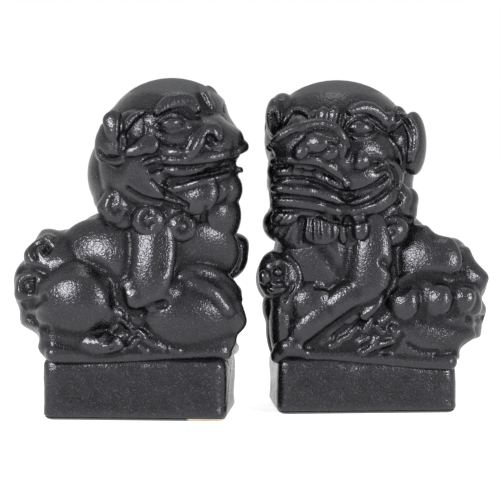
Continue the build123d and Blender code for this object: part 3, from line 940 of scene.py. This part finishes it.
def female_nose(clay):
    """The ridge over the nose, its tip and its wings."""
    clay.band(
        [(270, 148), (277, 140), (290, 132), (305, 126), (320, 124), (334, 128), (343, 137), (349, 147)],
        (3.6, 4.8, 4.8, 4.8, 3.6), 3.6, 0.8, (-16, 22),
    )
    clay.dabs(
        FEMALE_SHEEN,
        ((316, 143), (13, 10, 6), 1), ((360, 160), (10, 9.6, 4.6), 0.6),
        ((302, 150), (7.4, 9.6, 5.4), 0.9, -20), ((330, 153), (9.6, 7.6, 5.4), 0.9, 15),
        ((343, 149), (6, 8.6, 5), 0.8),
    )


def female_lips(clay):
    clay.band(
        [(274, 162), (284, 160), (298, 159), (314, 160), (328, 166), (339, 175), (346, 184)],
        (3.8, 5.2, 5.4, 5.2, 3.4), 3.6, 0.5, (-8, 12),
    )
    clay.band(
        [(274, 189), (286, 189), (300, 190), (315, 192), (330, 197), (345, 203)],
        (3.8, 5, 5.2, 4.8, 3.2), 3.4, 0.5, (-8, 12),
    )
    clay.band(
        [(350, 204), (360, 201), (371, 196), (381, 189), (388, 181)],
        (2.4, 3.4, 3.2, 2), 3.2, 0.8, (-16, 16),
    )
    clay.band(
        [(380, 165), (388, 162), (395, 166), (399, 175), (398, 186)],
        (2.4, 3.8, 3.8, 2.4), 3.6, 0.9, (14, 6),
    )


def female_ears_and_locks(clay):
    clay.band(
        [(402, 114), (409, 118), (414, 126), (416, 136), (415, 147), (412, 158)],
        (1.6, 3, 3, 1.6), 2.8, 0.5, both=True,
    )
    clay.band(
        [(402, 121), (406, 127), (409, 137), (409, 148), (408, 159)],
        (1.2, 2.4, 1.2), 2.2, 0.4, both=True,
    )
    clay.band([(391, 140), (396, 147), (399, 154), (401, 163)], (1.2, 2.4, 1.2), 2.2, 0.5, both=True)
    clay.band([(279, 122), (277, 112), (271, 111), (269, 121), (271, 131)], (1.6, 3, 3, 1.6), 2.8, 0.5)
    clay.band([(341, 221), (341, 230), (343, 240)], (4, 5, 3), 2.6, 0.1, (-12, 6))
    clay.dabs(
        FEMALE_SHEEN,
        ((318, 229), (21, 15, 5), 0, -10), ((358, 225), (10, 15, 4.6), 0.2, 20),
        ((285, 217), (14, 8, 4.6), 0.2, 8),
    )
    clay.band([(355, 220), (359, 229), (366, 238)], (4, 5, 3), 3.4, 0.3, (-14, 10))


# Where the female's jaws meet, the fold under them and the one under her foreleg
BITE = [
    (276, 179), (286, 178), (300, 178), (317, 181), (330, 187), (342, 192), (352, 193), (364, 190),
    (376, 184), (386, 176),
]
UNDER_JAW = [
    (276, 210), (285, 210), (300, 211), (315, 213), (326, 218), (338, 222), (350, 223), (368, 219),
    (385, 213), (399, 202),
]
UNDER_FORELEG = [
    (384, 262), (393, 270), (394, 281), (386, 294), (373, 303), (355, 312), (340, 322), (325, 333),
    (308, 346),
]
# The gaps between her teeth: x, and y from top to bottom
TOOTH_GAPS = ((291, 169, 176), (302, 169, 177), (314, 171, 179), (325, 175, 183))


def female_head_forms(clay):
    """Soft hollows of the face, and the ridges of the locks."""
    clay.work(
        (-1, 8, [(396, 131), (403, 135), (405, 146)]), (-1, 7, [(340, 119), (341, 126)]),
        (-1.2, 9, [(346, 197), (346, 208), (346, 218)]), (-0.7, 9, [(352, 148), (353, 158)]),
        (-1.1, 12, [(281, 149), (290, 144), (297, 142)]), (0.8, 9, [(359, 160)]),
        (0.8, 7, [(382, 155)]), (0.4, 2.8, [(268, 229), (274, 220), (281, 213)]),
        (0.4, 2.8, [(270, 237), (279, 225), (288, 213)]),
        (0.4, 2.8, [(277, 238), (284, 228), (293, 216)]),
        (0.4, 2.8, [(285, 239), (291, 229), (298, 220)]), (0.5, 2.6, [(308, 220), (306, 236)]),
        (0.5, 2.6, [(315, 220), (315, 238)]), (0.5, 2.6, [(322, 221), (323, 238)]),
        (-0.9, 6, [(333, 220), (333, 236)]), (-0.9, 6, [(349, 222), (352, 238)]),
        (-1.2, 6, [(302, 222), (300, 240)]),
    )


def female_head_creases(clay):
    """Lips, teeth, lids and the windings of the curls."""
    clay.work(
        (-1.3, 3.8, [(276, 167), (285, 166), (300, 166), (316, 169), (330, 175), (341, 183)], "crisp"),
        (-1.5, 3.8, BITE, "crisp"),
        (-1, 3.4, [(276, 197), (286, 197), (300, 198), (312, 200), (326, 204), (340, 209)], "crisp"),
        (-1.4, 4, UNDER_JAW, "crisp"),
        (-1, 3.6, [(352, 209), (365, 205), (378, 199), (389, 190)], "crisp"),
        (-1, 3.4, [(377, 171), (386, 168), (391, 173), (393, 181), (391, 189)], "crisp"),
        *[(-0.5, 2.6, [(x, top), (x, bottom)]) for x, top, bottom in TOOTH_GAPS],
        (-1, 2.8, [(344, 130), (350, 123), (357, 119), (365, 121), (372, 126), (378, 131)], "crisp"),
        (-0.9, 2.8, [(348, 132), (353, 135), (360, 136), (368, 135), (375, 132)], "crisp"),
        (-1.3, 5.2, spiral((391, 232), 11, 60, 0.9), "crisp"),
        (-1, 4, [(400, 196), (399, 206), (403, 216), (411, 220)], "crisp"),
    )


def female_body():
    clay = Clay("female_body", "female", BODY_NODES)
    female_chest_and_rocks(clay)
    female_foreleg(clay)
    female_hind_part(clay)
    clay.fuse(MIDDLE_GRID, passes=30)
    clay.shift(
        ((440, 231), (-4, 4), 16), ((484, 258), (-8, 3), 22), ((474, 352), (-10, -2), 18),
        ((488, 324), (-5, 0), 18),
    )
    female_body_strokes(clay)
    clay.work(*ROCK_STROKES_RIGHT)
    clay.smooth(1)
    clay.fire(skin_glaze)


def female_chest_and_rocks(clay):
    """The clay where it meets the front of the block, the chest, and the hill of rock under the belly."""
    clay.roll([(278, 356), (330, 356), (380, 358), (420, 361), (449, 362)], (4, 4.2, 4.2), depth=(-12, -14))
    clay.eggs(
        ((322, 258), (40, 46, 17), -7.4, (-8, 0)), ((374, 336), (50, 26, 20), -7),
        ((384, 318), (26, 30, 17), -7.4), ((335, 344), (36, 16, 15), -8),
    )


def female_foreleg(clay):
    clay.eggs(
        ((366, 262), (25, 52, 12), -14.2, (-20, 8)), ((378, 278), (17, 20, 14), -12.6),
        ((350, 298), (44, 18, 14), -13.4, (0, 0), 36), ((318, 322), (34, 18, 14), -13, (8, -12), 38),
    )


def female_hind_part(clay):
    """Haunch with three bulges over the knee, flank and rump, and clay behind the cub."""
    clay.eggs(
        ((432, 306), (46, 36, 16), -10.6, (4, 0)), ((404, 302), (16, 17, 9), -16.2, FEMALE_SHEEN),
        ((437, 299), (16, 16, 9), -16.8, FEMALE_SHEEN), ((462, 298), (13, 14, 9), -14, FEMALE_SHEEN),
        ((430, 336), (44, 28, 14), -11.4, (10, -2)), ((416, 261), (44, 34, 17), -4.6, FEMALE_SHEEN),
        ((457, 274), (30, 27, 18), 0, (-14, 12)), ((440, 264), (26, 20, 18), 2),
        ((468, 305), (13, 24, 18), -1), ((289, 262), (13, 34, 14), -1.4),
        ((285, 328), (18, 36, 14), -2.6), ((277, 307), (14, 20, 16), -3),
    )


def female_body_strokes(clay):
    clay.work(
        (-1.5, 7, UNDER_FORELEG),
        (-1.4, 10, [(402, 288), (412, 281), (430, 277), (450, 278), (468, 283)]),
        (-0.5, 8, [(420, 288), (420, 304), (421, 318)]),
        (-0.5, 8, [(452, 288), (452, 300), (453, 314)]),
        (-1.4, 5, [(468, 319), (476, 319), (484, 318)]),
        (-0.6, 12, [(350, 242), (349, 260), (347, 276)]),
        (-0.6, 8, [(322, 248), (332, 262), (340, 278)]),
        (0.9, 5, [(362, 352), (375, 347), (388, 343)]),
        (-0.8, 5, [(408, 344), (420, 350), (436, 352)]),
        (-0.8, 6, [(385, 352), (396, 346), (402, 336)]),
    )


def cub():
    clay = Clay("female_cub", "female", ["cub_head", "cub_body"])
    clay.eggs(
        ((314, 304), (27, 25, 19), -9.5), ((287, 292), (16, 40, 16), -8.6),
        ((283, 322), (13, 38, 18), -7.4), ((273, 275), (14, 22, 15), -11.4),
    )
    clay.feel()
    clay.roll([(270, 264), (276, 261), (283, 261), (288, 265)], (0.9, 1.5, 0.9), 0.5)
    clay.egg((278, 272), (4.6, 3.8, 4.5), lift=0.4)
    clay.egg((265, 277), (6, 7, 6), lift=0.4)
    clay.egg((277, 288), (9, 6, 6), lift=0.2)
    clay.roll([(268, 282), (275, 284), (284, 282)], (0.8, 1.2, 0.8), 0.4)
    clay.roll([(288, 256), (296, 265), (300, 277), (296, 289), (286, 297)], (1, 1.7, 1.7, 1), 0.3)
    clay.fuse(FINE_GRID, passes=6)
    clay.work(
        (-1, 3.2, [(268, 285), (276, 287), (285, 285)], "crisp"),
        (1, 4, [(318, 281), (328, 282), (337, 287), (344, 295)]),
        (-1, 4, [(316, 287), (327, 288), (336, 294)]),
        (-1, 4, [(285, 300), (290, 292), (292, 284)]),
    )
    clay.fire(skin_glaze)


# The height at which the ripples of a block begin, and over which they grow
RIM_TOP, RIM_FADE = 3.0, 4.0


def block(lion):
    clay = Clay(lion + "_block", lion, ["plinth"], grow=0.0)
    clay.fuse(COARSE_GRID, passes=2)
    above_rim = np.clip((clay.spots[:, 2] - RIM_TOP) / RIM_FADE, 0, 1)
    clay.smooth(44, above_rim)
    clay.ripple(height=0.6, size=16.0, seed=3.0, where=above_rim)
    clay.ripple(height=0.25, size=5.0, seed=9.0, where=above_rim)
    clay.fire(block_glaze, relief=1.5)


def ball():
    clay = Clay("male_glazed_ball", "male", ["ball"])
    clay.fuse(MIDDLE_GRID, passes=4)
    clay.shift(((243, 240), (4, -2), 18))
    clay.work(
        (-1.2, 3.6, [(232, 236), (238, 246), (240, 258), (236, 270)]),
        (0.8, 4.0, [(230, 240), (233, 255), (231, 268)]),
    )
    clay.fire(ball_glaze)


male_head()
male_body()
ball()
block("male")
female_head()
female_body()
cub()
block("female")

# Places along X, in metres, beyond which a foot rim is bare; the female's lies off her block
MALE_BARE_FROM, FEMALE_BARE_FROM = -0.026, 0.2
repaint("male_foot_rim", foot_rim("bare_clay_to_the_right", MALE_BARE_FROM))
repaint("female_foot_rim", foot_rim("glazed_foot", FEMALE_BARE_FROM))


# Floor, lights and camera

FLOOR_REACH = 12.0
FLOOR_GREYS = ((0.86, 0.86, 0.86, 1), (0.88, 0.88, 0.88, 1))
# How bright the floor glows to the camera, and how bright the world is as a light and as it is seen
FLOOR_GLOW, WORLD_LIGHT, WORLD_SEEN = 0.84, 0.20, 1.0
LAMPS = {
    "left_window": dict(place=(-0.85, -0.95, 0.62), aim=(0, 0, 0.08), size=0.50, power=18.0),
    "right_window": dict(place=(0.85, -1.0, 0.42), aim=(0, 0, 0.08), size=0.46, power=13.0),
    "top": dict(place=(0.0, 0.1, 1.2), aim=(0, 0, 0.1), size=0.4, power=1.5),
}
SENSOR_WIDTH = 36.0
NEAREST_SEEN, FARTHEST_SEEN = 0.05, 50.0


def seen_rays(tree):
    """One for rays from the camera, also by way of a reflection or glass, and nought for others."""
    rays = tree.nodes.new("ShaderNodeLightPath").outputs
    seen = rays["Is Camera Ray"]
    for kind in ("Is Glossy Ray", "Is Transmission Ray"):
        either = tree.nodes.new("ShaderNodeMath")
        either.operation = "MAXIMUM"
        tree.links.new(seen, either.inputs[0])
        tree.links.new(rays[kind], either.inputs[1])
        seen = either.outputs[0]
    return seen


def white_floor():
    mesh = bpy.data.meshes.new("floor")
    corners = [(x * FLOOR_REACH, y * FLOOR_REACH, 0) for x, y in ((-1, -1), (1, -1), (1, 1), (-1, 1))]
    mesh.from_pydata(corners, [], [(0, 1, 2, 3)])
    floor = placed("floor", mesh)
    paint = Paint("pale_floor")
    colour = paint.mix(paint.noise(0.05, detail=2.0), *FLOOR_GREYS)
    glow = paint.sums("MULTIPLY", seen_rays(paint.tree), FLOOR_GLOW)
    paint.set(Base_Color=colour, Roughness=1.0, Specular_IOR_Level=0.0)
    paint.set(Emission_Color=(1, 1, 1, 1), Emission_Strength=glow)
    mesh.materials.append(paint.material)


def lamp(name, place, aim, size, power):
    data = bpy.data.lights.new(name, "AREA")
    data.shape = "DISK"
    data.size = size
    data.energy = power
    made = placed(name, data)
    made.location = place
    made.rotation_euler = (Vector(aim) - Vector(place)).to_track_quat("-Z", "Y").to_euler()


def white_world():
    world = bpy.data.worlds.new("studio")
    bpy.context.scene.world = world
    world.use_nodes = True
    nodes, links = world.node_tree.nodes, world.node_tree.links
    level = nodes.new("ShaderNodeMapRange")
    links.new(seen_rays(world.node_tree), level.inputs["Value"])
    level.inputs["To Min"].default_value = WORLD_LIGHT
    level.inputs["To Max"].default_value = WORLD_SEEN
    links.new(level.outputs["Result"], nodes["Background"].inputs["Strength"])
    nodes["Background"].inputs["Color"].default_value = (1, 1, 1, 1)


def camera():
    data = bpy.data.cameras.new("camera")
    data.sensor_width = SENSOR_WIDTH
    data.lens = SENSOR_WIDTH * focal_pixels / picture_side
    data.clip_start = NEAREST_SEEN
    data.clip_end = FARTHEST_SEEN
    made = placed("camera", data)
    made.location = camera_spot * MM
    made.rotation_euler = (pi / 2 - camera_drop, 0, 0)
    bpy.context.scene.camera = made


white_floor()
white_world()
for lamp_name, settings in LAMPS.items():
    lamp(lamp_name, **settings)
camera()
bpy.context.scene.view_settings.view_transform = "Standard"
